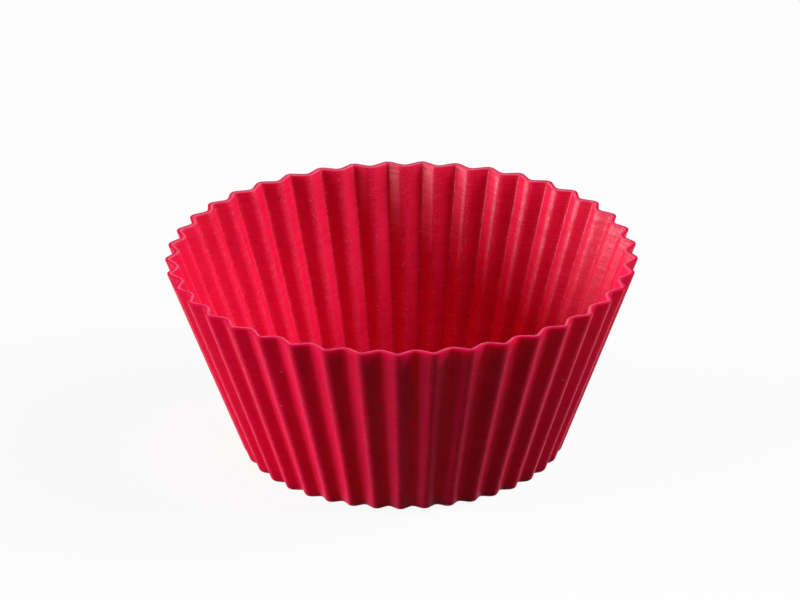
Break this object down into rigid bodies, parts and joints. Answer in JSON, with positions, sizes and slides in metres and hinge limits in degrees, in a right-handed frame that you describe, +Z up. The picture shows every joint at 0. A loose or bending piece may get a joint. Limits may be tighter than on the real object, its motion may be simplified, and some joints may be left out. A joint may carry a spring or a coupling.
{
  "type": "silicone baking cup",
  "caption": "Fluted silicone baking cup with a tapered wall, a plain cut rim and a flat floor; it stands on a tray and holds the batter of a small cake.",
  "frame": {"origin": "middle of the floor's underside, on the surface that the cup stands on", "axes": "+Z up along the cup's axis, out of its open top; a flute crest points along -Y"},
  "size_m": [0.0698, 0.0699, 0.0303],
  "materials": {
    "silicone": "satin, slightly translucent red silicone"
  },
  "bodies": {
    "root": {"baking_cup": "silicone"}
  },
  "joints": []
}
